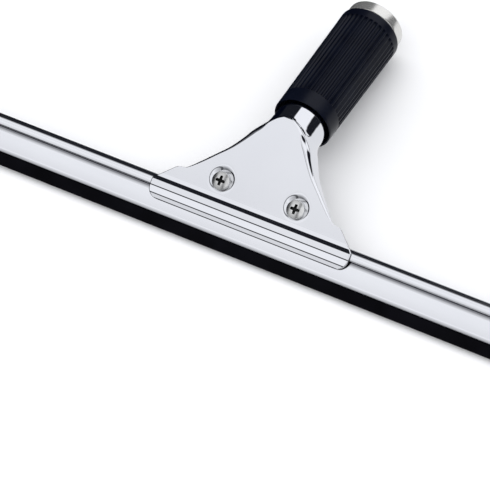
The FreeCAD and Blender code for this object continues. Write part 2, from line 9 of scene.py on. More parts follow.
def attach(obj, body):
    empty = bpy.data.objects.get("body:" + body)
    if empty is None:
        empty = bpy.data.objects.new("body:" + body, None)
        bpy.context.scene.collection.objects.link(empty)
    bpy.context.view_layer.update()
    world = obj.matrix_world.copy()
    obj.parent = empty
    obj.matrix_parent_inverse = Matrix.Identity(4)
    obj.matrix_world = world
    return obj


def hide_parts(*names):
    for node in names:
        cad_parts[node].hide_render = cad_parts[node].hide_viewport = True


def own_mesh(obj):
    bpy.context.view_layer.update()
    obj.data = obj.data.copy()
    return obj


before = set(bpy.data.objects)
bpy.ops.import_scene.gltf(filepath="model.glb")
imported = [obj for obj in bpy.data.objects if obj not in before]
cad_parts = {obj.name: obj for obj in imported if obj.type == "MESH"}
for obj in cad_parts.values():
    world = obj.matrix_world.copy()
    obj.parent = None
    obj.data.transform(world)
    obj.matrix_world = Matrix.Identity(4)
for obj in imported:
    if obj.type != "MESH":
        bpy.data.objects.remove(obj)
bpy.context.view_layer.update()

# ---------------------------------------------------------------- sizes, in millimetres
# The tool is drawn in its plate's own frame: x along the channel, p up the plate from the
# jaw's lower edge, z out of the front plate. Stand turns that frame into the lying pose.
LYING_TILT = math.radians(30.4)
LYING_SHIFT = -64.55
LYING_LIFT = 11.34

SHEET = 1.2
JAW_HALF = 54.3
SCREW_HALF = 20.4
SCREW_REACH = 19.4

# The handle's axis starts behind the plate's top and bends back from the plate.
HANDLE_BEND = math.radians(37.3)
AXIS_REACH = 51.3
AXIS_DROP = 13.6
TUBE_ROUND = 13.3
TUBE_END = 79.3


def stand(points):
    """Plate-frame points in millimetres, as row-frame points in metres."""
    x, p, z = np.asarray(points, float).T
    c, s = math.cos(LYING_TILT), math.sin(LYING_TILT)
    return np.stack([x, p * c - z * s + LYING_SHIFT, p * s + z * c + LYING_LIFT], 1) / 1000


def table(places, values):
    """A smooth function through a few points that doesn't overshoot between them."""
    xs, ys = np.array(places, float), np.array(values, float)
    steps = np.diff(ys) / np.diff(xs)
    slopes = np.zeros(len(xs))
    inner = steps[:-1] * steps[1:] > 0
    harmonic = 2 * steps[:-1] * steps[1:] / np.where(inner, steps[:-1] + steps[1:], 1)
    slopes[1:-1] = np.where(inner, harmonic, 0)
    slopes[0], slopes[-1] = steps[0], steps[-1]

    def at(x):
        x = np.clip(x, xs[0], xs[-1])
        i = np.clip(np.searchsorted(xs, x) - 1, 0, len(xs) - 2)
        width = xs[i + 1] - xs[i]
        t = (x - xs[i]) / width
        return (ys[i] * (1 + 2 * t) * (1 - t) ** 2 + ys[i + 1] * t * t * (3 - 2 * t)
                + width * (slopes[i] * t * (1 - t) ** 2 - slopes[i + 1] * t * t * (1 - t)))
    return at


def smooth(edge_low, edge_high, x):
    """An S-shaped rise from 0 to 1 between two edges."""
    t = np.clip((x - edge_low) / (edge_high - edge_low), 0, 1)
    return t * t * (3 - 2 * t)


# ---------------------------------------------------------------- materials
class Nodes:
    """A short way to write the node tree of a material, new or already made."""

    def __init__(self, name):
        self.material = bpy.data.materials.get(name) or bpy.data.materials.new(name)
        self.material.use_nodes = True
        self.tree = self.material.node_tree
        self.shader = self.tree.nodes["Principled BSDF"]

    def set(self, **settings):
        for key, setting in settings.items():
            self.shader.inputs[key.replace("_", " ")].default_value = setting

    def add(self, kind, **settings):
        node = self.tree.nodes.new("ShaderNode" + kind)
        for key, setting in settings.items():
            if key in node.inputs:
                node.inputs[key].default_value = setting
            else:
                setattr(node, key, setting)
        return node

    def link(self, source, output, target, socket):
        self.tree.links.new(source.outputs[output], target.inputs[socket])

    def place(self, scale=(1, 1, 1)):
        """Object coordinates, stretched by scale."""
        where = self.add("TexCoord")
        mapping = self.add("Mapping", Scale=scale)
        self.link(where, "Object", mapping, "Vector")
        return mapping

    def noise(self, scale, detail=4.0, roughness=0.55, stretch=(1, 1, 1)):
        node = self.add("TexNoise", Scale=scale, Detail=detail, Roughness=roughness)
        self.link(self.place(stretch), "Vector", node, "Vector")
        return node

    def ramp(self, source, output, low, high, start=0.3, end=0.7):
        node = self.add("ValToRGB")
        first, last = node.color_ramp.elements
        first.position, last.position = start, end
        first.color = (*low, 1) if isinstance(low, tuple) else (low, low, low, 1)
        last.color = (*high, 1) if isinstance(high, tuple) else (high, high, high, 1)
        self.link(source, output, node, "Fac")
        return node

    def bump(self, source, output, strength, distance=0.001):
        node = self.add("Bump", Strength=strength, Distance=distance)
        self.link(source, output, node, "Height")
        self.link(node, "Normal", self.shader, "Normal")
        return node


def steel(name, low, high, rough_low, rough_high, scratch=0.005, metal=1.0):
    """Polished or brushed metal: cloudy tint, smudged roughness and fine lines along x."""
    n = Nodes(name)
    n.set(Metallic=metal)
    cloud = n.noise(18.0)
    n.link(n.ramp(cloud, "Fac", low, high), "Color", n.shader, "Base Color")
    smudge = n.noise(45.0, detail=6.0)
    n.link(n.ramp(smudge, "Fac", rough_low, rough_high), "Color", n.shader, "Roughness")
    lines = n.noise(1.0, detail=2.0, stretch=(60, 3000, 3000))
    n.bump(lines, "Fac", scratch, 0.00005)
    return n.material


def rubber(name, low, high, rough_low, rough_high, grain, bump, gloss=0.3):
    """Moulded rubber: mottled near-black with a fine pebbled grain."""
    n = Nodes(name)
    n.set(Specular_IOR_Level=gloss)
    cloud = n.noise(60.0)
    n.link(n.ramp(cloud, "Fac", low, high), "Color", n.shader, "Base Color")
    rough = n.noise(240.0)
    n.link(n.ramp(rough, "Fac", rough_low, rough_high), "Color", n.shader, "Roughness")
    pebbles = n.noise(grain, detail=3.0)
    n.bump(pebbles, "Fac", bump, 0.0001)
    return n.material


MIRROR_STEEL = steel("mirror_steel", (0.85, 0.86, 0.90), (0.89, 0.90, 0.935), 0.035, 0.075)
CHANNEL_STEEL = steel("channel_steel", (0.88, 0.89, 0.93), (0.91, 0.92, 0.955), 0.07, 0.11)
CLIP_STEEL = steel("clip_steel", (0.78, 0.785, 0.80), (0.84, 0.845, 0.86), 0.10, 0.18, 0.05)
PLATED = steel("plated_ferrule", (0.76, 0.75, 0.72), (0.84, 0.83, 0.80), 0.16, 0.26, 0.01,
               metal=0.85)
SCREW_STEEL = steel("screw_steel", (0.66, 0.66, 0.65), (0.82, 0.82, 0.81), 0.12, 0.24, 0.05)
SPRING_STEEL = steel("spring_steel", (0.38, 0.39, 0.41), (0.52, 0.53, 0.55), 0.2, 0.35, 0.08)
GRIP_RUBBER = rubber("grip_rubber", (0.0012, 0.0020, 0.0065), (0.0025, 0.0042, 0.0115),
                     0.28, 0.38, 900.0, 0.06, 0.20)
BLADE_RUBBER = rubber("blade_rubber", (0.0012, 0.0012, 0.002), (0.003, 0.003, 0.005),
                      0.45, 0.60, 600.0, 0.12, 0.04)
# Dark grey for cut sheet edges: partly the duller cut steel, partly painted shade for the gap
# line along the jaw.
CUT_STEEL_AND_SHADE = steel("cut_steel_and_shade", (0.10, 0.10, 0.11), (0.20, 0.20, 0.215), 0.30, 0.45, 0.10)
# Near-black painted shade for the screws' cross recesses.
RECESS_SHADE = steel("recess_painted_shade", (0.015, 0.015, 0.015), (0.04, 0.04, 0.04), 0.4, 0.6)
SOCKET_PLASTIC = rubber("socket_plastic", (0.02, 0.02, 0.023), (0.035, 0.035, 0.04),
                        0.40, 0.55, 500.0, 0.15)


def paint_shade_towards_fold(material, dark, start, end):
    """Paints shade into a metal's colour: fades it to dark between two heights up the plate,
    and stops there.
    """
    n = Nodes(material.name)
    colour = n.shader.inputs["Base Color"].links[0].from_socket
    where = n.add("TexCoord")
    turn = n.add("Mapping", Rotation=(-LYING_TILT, 0, 0))
    n.link(where, "Object", turn, "Vector")
    split = n.add("SeparateXYZ")
    n.link(turn, "Vector", split, "Vector")
    foot = LYING_SHIFT * math.cos(LYING_TILT) + LYING_LIFT * math.sin(LYING_TILT)
    fade = n.add("MapRange")
    n.link(split, "Y", fade, "Value")
    fade.inputs["From Min"].default_value = (foot + start) / 1000
    fade.inputs["From Max"].default_value = (foot + end) / 1000
    beyond = n.add("Math", operation="LESS_THAN")
    n.link(split, "Y", beyond, 0)
    beyond.inputs[1].default_value = (foot + end) / 1000
    amount = n.add("Math", operation="MULTIPLY")
    n.link(fade, "Result", amount, 0)
    n.link(beyond, "Value", amount, 1)
    mix = n.add("Mix", data_type="RGBA")
    n.tree.links.new(amount.outputs[0], mix.inputs[0])
    n.tree.links.new(colour, mix.inputs[6])
    mix.inputs[7].default_value = (*dark, 1)
    n.tree.links.new(mix.outputs[2], n.shader.inputs["Base Color"])


def paint(thing, material):
    thing.data.materials.clear()
    thing.data.materials.append(material)


# ---------------------------------------------------------------- meshes
def make_object(name, points, faces, materials, marks=None, sharp=math.radians(38)):
    """A smooth-shaded mesh; marks gives each face's place in the list of materials."""
    mesh = bpy.data.meshes.new(name)
    mesh.from_pydata([tuple(p) for p in points], [], [tuple(int(i) for i in f) for f in faces])
    for material in materials:
        mesh.materials.append(material)
    if marks is not None:
        mesh.polygons.foreach_set("material_index", np.asarray(marks, np.int32))
    work = bmesh.new()
    work.from_mesh(mesh)
    bmesh.ops.remove_doubles(work, verts=work.verts, dist=1e-7)
    bmesh.ops.dissolve_degenerate(work, edges=work.edges, dist=1e-7)
    bmesh.ops.recalc_face_normals(work, faces=work.faces)
    work.to_mesh(mesh)
    work.free()
    mesh.shade_smooth()
    mesh.set_sharp_from_angle(angle=sharp)
    thing = bpy.data.objects.new(name, mesh)
    bpy.context.scene.collection.objects.link(thing)
    return thing


def quads_of(index, flip=False):
    """The quads of a grid of vertex numbers."""
    quads = np.stack([index[:-1, :-1], index[:-1, 1:], index[1:, 1:], index[1:, :-1]], -1)
    quads = quads.reshape(-1, 4)
    return quads[:, ::-1] if flip else quads


def soften(corners, radius, steps=4):
    """A closed outline with each corner rounded off."""
    corners = np.array(corners, float)
    smoothed = []
    for before, here, after in zip(np.roll(corners, 1, 0), corners, np.roll(corners, -1, 0)):
        ends = []
        for other in (before, after):
            away = other - here
            length = np.hypot(*away)
            ends.append(here + away / length * min(radius, length * 0.45))
        for t in np.linspace(0, 1, steps + 1):
            smoothed.append((1 - t) ** 2 * ends[0] + 2 * t * (1 - t) * here + t * t * ends[1])
    return np.array(smoothed)


def on_handle(x, y, along):
    """Places a turned piece about the handle's axis."""
    c, s = math.cos(HANDLE_BEND), math.sin(HANDLE_BEND)
    return np.stack([x, AXIS_REACH + along * c + y * s, -AXIS_DROP - along * s + y * c], -1)


def turned(name, outline, place, materials, segments=96, shape=None, mark=None):
    """Turns a closed outline of (radius, height); shape may move the turned points."""
    outline = np.array(outline, float)
    angles = np.linspace(0, 2 * math.pi, segments, endpoint=False)
    radius = np.repeat(outline[:, :1], segments, 1)
    height = np.repeat(outline[:, 1:], segments, 1)
    around = np.repeat(angles[None], len(outline), 0)
    if shape is not None:
        radius, height = shape(radius, height, around)
    x, y = radius * np.cos(around), radius * np.sin(around)
    points = stand(place(x, y, height).reshape(-1, 3))
    index = np.arange(len(points)).reshape(radius.shape)
    index = np.concatenate([index, index[:1]])
    index = np.concatenate([index, index[:, :1]], 1)
    faces = quads_of(index)
    marks = None
    if mark is not None:
        middle = [part.reshape(-1)[faces].mean(1) for part in (x, y, height)]
        marks = mark(*middle)
    return make_object(name, points, faces, materials, marks)


# ---------------------------------------------------------------- pressed sheet
# How many points a section has on its flat, corner, wall and closed underside.
FLAT_STEPS, CORNER_STEPS, WALL_STEPS, UNDER_STEPS = 120, 20, 10, 18
# The turn, in radians, over which the plate's edge sinks onto the tube.
EDGE_TURN = 0.42


class Row:
    """One cross-section of a pressed sheet.

    centre and lean place the section: centre is (p, z) and lean turns its up direction from z
    towards p. top is the flat's height over the centre, flat its half width, and round_x and
    round_z the corner's radii. under is how far the closed underside lies below the centre,
    and depth how far the free edge lies below the top. tubular is the share by which the side
    already follows the tube instead of a flat wall.
    """

    def __init__(self, centre, lean, top, flat, round_x, round_z, under, depth, tubular=0.0):
        self.centre, self.lean, self.top, self.flat = centre, lean, top, flat
        self.round_x, self.round_z, self.under, self.depth = round_x, round_z, under, depth
        self.tubular = tubular

    def shoulder_curve(self, wall_end):
        """From the flat's end out to the side: a corner and wall, or a roll onto the tube."""
        side = self.flat + self.round_x
        shoulder = self.top - self.round_z
        turn = np.linspace(0, math.pi / 2, CORNER_STEPS + 1)[1:]
        wall = np.linspace(shoulder, wall_end, WALL_STEPS + 1)[1:]
        x = np.concatenate([self.flat + self.round_x * np.sin(turn), np.full(WALL_STEPS, side)])
        h = np.concatenate([shoulder + self.round_z * np.cos(turn), wall])
        if self.tubular > 0:
            first = math.atan2(self.flat, self.top)
            turn = np.linspace(first, math.pi / 2, CORNER_STEPS + WALL_STEPS + 1)
            tube = 1 / np.hypot(np.sin(turn) / side, np.cos(turn) / self.under)
            lift = math.hypot(self.flat, self.top) - tube[0]
            radius = tube + lift * (1 - smooth(0, EDGE_TURN, turn - first))
            x += self.tubular * ((radius * np.sin(turn))[1:] - x)
            h += self.tubular * ((radius * np.cos(turn))[1:] - h)
        return x, h

    def half(self):
        """Half the outer path and half the inner path as (x, height) arrays."""
        side = self.flat + self.round_x
        edge = max(self.top - self.depth, -self.under)
        wall_end = min(max(edge, 0.0), self.top - self.round_z)
        shoulder_x, shoulder_h = self.shoulder_curve(wall_end)
        last = math.asin(min(1.0, max(0.0, -edge / self.under)))
        turn = np.linspace(0, last, UNDER_STEPS + 1)[1:]
        low = wall_end if edge > 0 else 0.0
        x = np.concatenate([np.linspace(0, self.flat, FLAT_STEPS), shoulder_x,
                            side * np.cos(turn)])
        h = np.concatenate([np.full(FLAT_STEPS, self.top), shoulder_h,
                            low - self.under * np.sin(turn)])
        along_x, along_h = np.gradient(x), np.gradient(h)
        length = np.maximum(np.hypot(along_x, along_h), 1e-9)
        nx, nh = -along_h / length, along_x / length
        still = length < 1e-7
        nx, nh = np.where(still, 1.0, nx), np.where(still, 0.0, nh)
        inner_x = np.maximum(x - SHEET * nx, 0.0)
        inner_h = np.minimum(h - SHEET * nh, self.top - SHEET)
        return (x, h), (inner_x, inner_h)

    def place(self, x, h):
        p = self.centre[0] + h * math.sin(self.lean)
        z = self.centre[1] + h * math.cos(self.lean)
        return np.stack([x, p, z], 1)

    def loop(self):
        """The whole section: outer face from left to right, then inner face."""
        faces = []
        for x, h in self.half():
            faces.append(np.concatenate([self.place(-x[:0:-1], h[:0:-1]), self.place(x, h)]))
        return faces


def sheet_mesh(name, rows, materials, press, cut_rows, gaps):
    """Skins a list of rows: outer face, inner face, free edges and the two end edges.

    The first cut_rows rows show the sheet's cut edge in the second material, a dark grey that
    is partly painted shade, and gaps are round holes, given as (x, p, radius).
    """
    outer, inner = [], []
    for row in rows:
        first, second = row.loop()
        outer.append(first)
        inner.append(second)
    outer, inner = press(np.array(outer)), press(np.array(inner))
    count, width = outer.shape[:2]
    plate_points = np.concatenate([outer.reshape(-1, 3), inner.reshape(-1, 3)])
    index = np.arange(count * width).reshape(count, width)
    back = index + count * width
    skins = np.concatenate([quads_of(index), quads_of(back, True)])
    column = (skins % width).min(1)
    row_of = (skins % (count * width)).min(1) // width
    wall = width // 2 - FLAT_STEPS - CORNER_STEPS
    # The jaw rows' edge roll and wall take the dark grey second material, partly painted shade.
    marks = (row_of < cut_rows) & ((column < wall) | (column >= width - 1 - wall))
    middle = plate_points[skins].mean(1)
    keep = np.ones(len(skins), bool)
    for x, p, radius in gaps:
        keep &= np.hypot(middle[:, 0] - x, middle[:, 1] - p) > radius
    skins, marks = skins[keep], marks[keep]
    edges = []
    open_rows = [i for i, row in enumerate(rows) if row.depth < row.top + row.under - 1e-6]
    for rim in (0, width - 1):
        for i in range(min(open_rows[-1] + 1, count - 1)):
            edges.append([index[i, rim], index[i + 1, rim], back[i + 1, rim], back[i, rim]])
    for i in (0, count - 1):
        for j in range(width - 1):
            edges.append([index[i, j], index[i, j + 1], back[i, j + 1], back[i, j]])
    faces = np.concatenate([skins, np.array(edges)])
    marks = np.concatenate([marks.astype(int), np.ones(len(edges), int)])
    return make_object(name, stand(plate_points), faces, materials, marks)


def crease_rows(breaks, soft, step):
    """Places along a folded profile: close together at each fold, evenly spread between."""
    longest_inset = 0.3
    places = []
    for start, end in zip(breaks[:-1], breaks[1:]):
        inset = min(soft, (end - start) * longest_inset)
        count = max(1, int((end - start - 2 * inset) / step))
        places += [start, start + inset]
        places += list(np.linspace(start + inset, end - inset, count + 1)[1:])
    return np.array(places + [breaks[-1]])


# ---------------------------------------------------------------- handle body
# The jaw strip's pressed ridges, as heights out of the plate at places up the plate.
JAW_P = [0.0, 0.4, 2.1, 2.55, 5.6, 6.1, 8.9, 10.9, 12.9, 13.15, 13.4, 18.0]
JAW_Z = [0.12, 0.32, 0.53, 0.76, 0.94, 1.21, 1.18, 0.20, 0.02, -0.03, 0.0, 0.0]
JAW_CORNER = 5.4
EAR_P = [9.5, 17.9, 18.5]
EAR_HALF = [JAW_HALF, 45.3, 44.4]
EDGE_ROLL = 0.5


def jaw_half_width(p):
    """Half the outline's width from the jaw's lower corner up to the ear."""
    if p < JAW_CORNER:
        return JAW_HALF - JAW_CORNER + math.sqrt(JAW_CORNER ** 2 - (JAW_CORNER - p) ** 2)
    return float(np.interp(p, EAR_P, EAR_HALF))


# The fan above the jaw, by height up the plate: half width of its flat, radius of its edge,
# and depth of its flanks.
FAN_START, FAN_END = 18.5, 45.8
FAN_WIDTH = table([18.5, 18.9, 19.3, 20.0, 24.6, 30.7, 36.0, 40.5, 44.4, 46.0],
                  [44.4, 42.6, 40.1, 38.7, 33.0, 26.6, 21.1, 17.3, 14.3, 13.1])
FAN_ROUND = table([18.5, 20.0, 22.0, 26.0, 32.0, 38.0, 44.4, 46.0],
                  [EDGE_ROLL, 0.8, 1.4, 1.9, 2.2, 2.6, 3.4, 3.8])
FAN_DEPTH = table([18.5, 20.0, 24.0, 30.0, 38.0, 46.0], [1.2, 1.3, 2.8, 5.4, 9.6, 14.3])

# The neck, by distance along the handle's axis: half width of what is left of the flat, half
# width over the sides, corner radius and flank depth. Its sections turn about NECK_PIVOT.
NECK_PIVOT = (46.0, -28.8)
NECK_START, NECK_END = -6.66, 5.0
APEX_AT, APEX_END, APEX_RISE = 1.3, 3.0, 2.0
ROLL_START, ROLL_END = -6.2, 1.0
CLOSED_AT = 3.2
NECK_FLAT = table([-6.66, -4.8, -3.0, -1.5, 0.0, 0.7, 1.3, 1.5, 1.8, 2.4, 3.5, 5.0],
                  [13.1, 11.5, 10.0, 8.7, 6.2, 4.5, 2.2, 1.1, 0.3, 0.02, 0.02, 0.02])
NECK_SIDE = table([-6.66, -4.8, -3.0, -1.5, 0.0, 1.3, 2.4, 5.0],
                  [16.9, 15.9, 15.1, 14.5, 14.0, 13.7, 13.5, 13.3])
NECK_ROUND = table([-6.66, -4.8, -3.0, -1.5, 0.0, 1.3, 2.4, 5.0],
                   [3.8, 5.0, 6.6, 8.2, 10.2, 12.2, 13.3, 13.3])
NECK_DEPTH = table([-6.66, -4.8, -3.0, -1.5, 0.0, 1.3, 2.4, CLOSED_AT],
                   [14.3, 16.3, 18.6, 20.8, 23.2, 25.4, 27.0, 28.5])


def neck_row(t):
    """A section where the flanks roll round into the tube, t along the handle's axis."""
    p = AXIS_REACH + t * math.cos(HANDLE_BEND)
    z = -AXIS_DROP - t * math.sin(HANDLE_BEND)
    lean = min(HANDLE_BEND, math.atan2(p - NECK_PIVOT[0], z - NECK_PIVOT[1]))
    tube = TUBE_ROUND / math.cos(HANDLE_BEND - lean)
    top = -z / math.cos(lean)
    if t > APEX_AT:
        top = float(tube + APEX_RISE * (1 - smooth(APEX_AT, APEX_END, t)))
    flat, side = float(NECK_FLAT(t)), float(NECK_SIDE(t))
    depth = top + tube if t >= CLOSED_AT else float(NECK_DEPTH(t))
    round_z = min(float(NECK_ROUND(t)), top)
    tubular = float(smooth(ROLL_START, ROLL_END, t))
    return Row((p, z), lean, top, flat, side - flat, round_z, tube, depth, tubular)


def body_rows():
    """All sections from the jaw's edge to the tube's end, and how many belong to the jaw."""
    middle, under = -9.56, 17.0
    rows = []
    for p in crease_rows(JAW_P, 0.1, 0.35):
        top = float(np.interp(p, JAW_P, JAW_Z)) - middle
        rows.append(Row((p, middle), 0.0, top, jaw_half_width(p) - EDGE_ROLL,
                        EDGE_ROLL, EDGE_ROLL * 0.6, under, SHEET))
    cut_rows = len(rows)
    fan = np.concatenate([np.arange(18.15, 20.2, 0.15), np.arange(20.4, 27.0, 0.35),
                          np.arange(27.4, FAN_END, 0.7)])
    for p in fan:
        flat = float(FAN_WIDTH(p)) if p > FAN_START else jaw_half_width(p) - EDGE_ROLL
        corner = float(FAN_ROUND(p))
        rows.append(Row((p, middle), 0.0, -middle, flat, corner, corner, under,
                        float(FAN_DEPTH(p))))
    neck = np.concatenate([np.arange(NECK_START, 1.2, 0.3), np.arange(APEX_AT, CLOSED_AT, 0.13),
                           np.arange(3.25, NECK_END, 0.35)])
    tube = (NECK_END, 5.4, 5.8, 6.2, 6.6, 8.0, 12.0, 20.0, 40.0, 60.0, TUBE_END)
    rows += [neck_row(float(t)) for t in (*neck, *tube)]
    return rows, cut_rows


BOWL_CENTRE, BOWL_ROUND, BOWL_DEPTH = 12.6, 13.96, 2.1
BOWL_SHIFT, BOWL_SOFT = 1.0, 0.3
BOWL_RIM, BOWL_REACH = 6.1, 7.4


def press_dimples(points):
    """Pushes the plate back into the two round bowls that the screw heads sit in."""
    pressed = points.copy()
    for side in (-1, 1):
        away = np.hypot(points[..., 0] - side * SCREW_HALF,
                        points[..., 1] - SCREW_REACH - BOWL_SHIFT)
        inside = np.clip(BOWL_ROUND ** 2 - away ** 2, 0.0, None)
        bowl = np.maximum(BOWL_CENTRE - np.sqrt(inside), -BOWL_DEPTH)
        drop = (bowl - np.sqrt(bowl ** 2 + BOWL_SOFT ** 2)) / 2
        drop *= 1 - smooth(BOWL_RIM, BOWL_REACH, away)
        on_plate = (points[..., 2] > -4.0) & (away < BOWL_REACH)
        pressed[..., 2] += np.where(on_plate, drop, 0.0)
    return pressed


def stand_in(thing, rides, node):
    """Puts a mesh in a CAD node's place, on one of the moving bodies."""
    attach(thing, rides)
    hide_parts(node)


SCREW_GAP = 3.0
shell_rows, jaw_rows = body_rows()
screw_gaps = [(side * SCREW_HALF, SCREW_REACH, SCREW_GAP) for side in (-1, 1)]
body = sheet_mesh("body_shell", shell_rows, (MIRROR_STEEL, CUT_STEEL_AND_SHADE), press_dimples,
                  jaw_rows, screw_gaps)
stand_in(body, "handle", "handle_body")


# ---------------------------------------------------------------- rubber grip and ferrule
GRIP_START, GRIP_END = 10.3, 79.7
GRIP_ROUND, GRIP_FLARE = 15.35, 0.85
RIB_START, RIB_END = 19.1, 74.9
RIB_COUNT, RIB_STEPS = 36, 14
GROOVE_DEPTH, GROOVE_POCKET = 0.80, 0.15


def grip_outline():
    """The sleeve's section: a recessed mouth, a slightly flared side and a rounded top."""
    mouth = [(13.5, GRIP_START + 5.0), (14.55, GRIP_START + 4.2), (14.6, GRIP_START + 0.3),
             (14.9, GRIP_START), (15.2, GRIP_START + 0.05), (GRIP_ROUND, GRIP_START + 0.7)]
    side = []
    for start, end, count in ((GRIP_START + 1.2, RIB_START - 0.3, 5),
                              (RIB_START - 0.2, RIB_START + 0.35, 8),
                              (RIB_START + 1, RIB_END - 1, 12),
                              (RIB_END - 0.35, RIB_END + 0.2, 8),
                              (RIB_END + 0.4, GRIP_END - 0.9, 4)):
        for along in np.linspace(start, end, count):
            share = (along - GRIP_START) / (GRIP_END - GRIP_START)
            side.append((GRIP_ROUND + GRIP_FLARE * share, along))
    top = [(16.15, GRIP_END - 0.4), (15.9, GRIP_END - 0.05), (15.5, GRIP_END),
           (13.5, GRIP_END)]
    return mouth + side + top


def cut_grooves(radius, height, around):
    """Presses the ribs' grooves into the sleeve, with a deeper pocket at each groove's end."""
    phase = np.abs(np.mod(around * RIB_COUNT / (2 * math.pi), 1) - 0.5) * 2
    groove = 1 - smooth(0.25, 0.80, phase)
    along = smooth(RIB_START - 0.1, RIB_START + 0.15, height)
    along *= 1 - smooth(RIB_END - 0.15, RIB_END + 0.1, height)
    near_end = np.minimum(np.abs(height - RIB_START), np.abs(height - RIB_END))
    depth = GROOVE_DEPTH + GROOVE_POCKET * (1 - smooth(0.3, 1.4, near_end))
    return radius - np.where(radius > 15.0, depth * groove * along, 0.0), height


grip = turned("grip_sleeve", grip_outline(), on_handle, (GRIP_RUBBER,),
              RIB_COUNT * RIB_STEPS, cut_grooves)
stand_in(grip, "handle", "rubber_grip")

FERRULE = [(11.05, 65.7), (11.75, 65.7), (11.75, 79.9), (14.7, 79.9), (14.7, 80.5),
           (15.1, 80.8), (15.1, 86.6), (11.05, 86.6)]
ferrule = turned("ferrule_collar", soften(FERRULE, 0.7), on_handle, (PLATED,))
stand_in(ferrule, "handle", "end_ferrule")


# ---------------------------------------------------------------- screws
CROSS_HALF, CROSS_REACH, CROSS_DEPTH = 0.72, 2.45, 1.3
HEAD_ROUND, HEAD_TOP, HEAD_EDGE, HEAD_FOOT = 4.5, 1.8, 1.2, -0.86
SHANK_ROUND, SHANK_END = 2.45, -10.9
THREAD_PITCH, THREAD_DEPTH, THREAD_TOP = 0.8, 0.3, -4.6


def screw_outline():
    """The screw's section from its tip up the shank and over the domed head."""
    end = [(0.0, SHANK_END), (1.2, SHANK_END + 0.05), (1.9, SHANK_END + 0.3),
           (2.25, SHANK_END + 0.75)]
    shank = [(SHANK_ROUND, h) for h in np.arange(SHANK_END + 1.0, THREAD_TOP, 0.1)]
    head = [(SHANK_ROUND, HEAD_FOOT), (HEAD_ROUND - 0.15, HEAD_FOOT), (HEAD_ROUND, -0.7),
            (HEAD_ROUND, HEAD_EDGE - 0.1), (HEAD_ROUND - 0.04, HEAD_EDGE)]
    for r in np.arange(HEAD_ROUND - 0.12, 0.05, -0.1):
        head.append((r, HEAD_EDGE + (HEAD_TOP - HEAD_EDGE) * (1 - (r / HEAD_ROUND) ** 2)))
    return end + shank + head + [(0.0, HEAD_TOP)]


def cross_mask(x, y):
    """1 inside the cross recess, 0 outside, with a narrow slope between."""
    x, y = np.abs(x), np.abs(y)
    long_way, short_way = np.maximum(x, y), np.minimum(x, y)
    arm = CROSS_HALF - 0.18 * long_way / CROSS_REACH
    return (1 - smooth(arm - 0.05, arm + 0.1, short_way)) \
        * (1 - smooth(CROSS_REACH - 0.2, CROSS_REACH, long_way))


def cut_screw(radius, height, around):
    """Presses the cross into the head and the thread into the shank."""
    x, y = radius * np.cos(around), radius * np.sin(around)
    drop = np.where(height > 0.9, CROSS_DEPTH * cross_mask(x, y), 0.0)
    wave = np.abs(np.mod(height / THREAD_PITCH + around / (2 * math.pi), 1) - 0.5) * 2
    thread = np.where((height < THREAD_TOP) & (radius > 2.3), THREAD_DEPTH * wave, 0.0)
    return radius - thread, height - drop


# Painted shade: faces down in the cross recess take the near-black second material.
def shade_in_recess(x, y, height):
    return ((height > -0.5) & (cross_mask(x, y) > 0.3)).astype(int)


def on_screw(side):
    return lambda x, y, h: np.stack([x + side * SCREW_HALF, y + SCREW_REACH, h], -1)


for side, word in ((-1, "left"), (1, "right")):
    screw = turned("pan_screw_" + word, screw_outline(), on_screw(side),
                   (SCREW_STEEL, RECESS_SHADE), 144, cut_screw, shade_in_recess)
    stand_in(screw, "handle", "screw_" + word)


# ---------------------------------------------------------------- channel rail
CHANNEL_HALF, CHANNEL_MIDDLE = 175.0, -4.1
RAIL_HOLE_HALF, RAIL_HOLE_REACH, RAIL_HOLE_ROUND = 53.5, 0.2, 3.4
RAIL_SHEET, LEG_HALF = 0.8, 2.7
SPINE_REACH, SPINE_MIDDLE, SPINE_ROUND = 8.7, 1.15, 2.8
PATCH = 4.2


def rail_side(crimp):
    """Half the rail's outer section: leg, crimp, flat of the spine and its rounded top.

    The front leg starts curving in towards the crimp earlier than the back leg, which stays
    flat round its holes.
    """
    top_of_patch = RAIL_HOLE_REACH + PATCH
    side = [(-6.3, 2.35), (-6.25, 2.6), (-6.1, LEG_HALF), (RAIL_HOLE_REACH - PATCH, LEG_HALF)]
    if crimp == "early":
        side += [(2.2, 2.68), (3.4, 2.6), (top_of_patch, 2.45), (5.0, 2.28)]
    else:
        side += [(top_of_patch, LEG_HALF), (4.6, 2.65), (4.85, 2.5), (5.0, 2.3)]
    side += [(5.45, 2.13), (5.72, 1.95), (5.82, 2.7), (5.9, 3.35), (6.02, 3.62), (6.2, 3.76),
             (6.45, 3.82), (8.5, 3.95)]
    for turn in np.linspace(-2, 90, 16):
        side.append((SPINE_REACH + SPINE_ROUND * math.sin(math.radians(turn)),
                     SPINE_MIDDLE + SPINE_ROUND * math.cos(math.radians(turn))))
    return side


def rail_inside(side):
    """The same half section one wall inward."""
    path = np.array(side, float)
    along = np.gradient(path, axis=0)
    normal = np.stack([-along[:, 1], along[:, 0]], 1) / np.hypot(*along.T)[:, None]
    inner = path - RAIL_SHEET * normal
    inner[:, 0] = np.minimum(inner[:, 0], 10.7)
    inner[:, 1] = np.clip(inner[:, 1], 1.35, 3.3)
    inner[:3] = [(-6.3, 2.2), (-6.25, 1.95), (-6.1, 1.9)]
    return inner


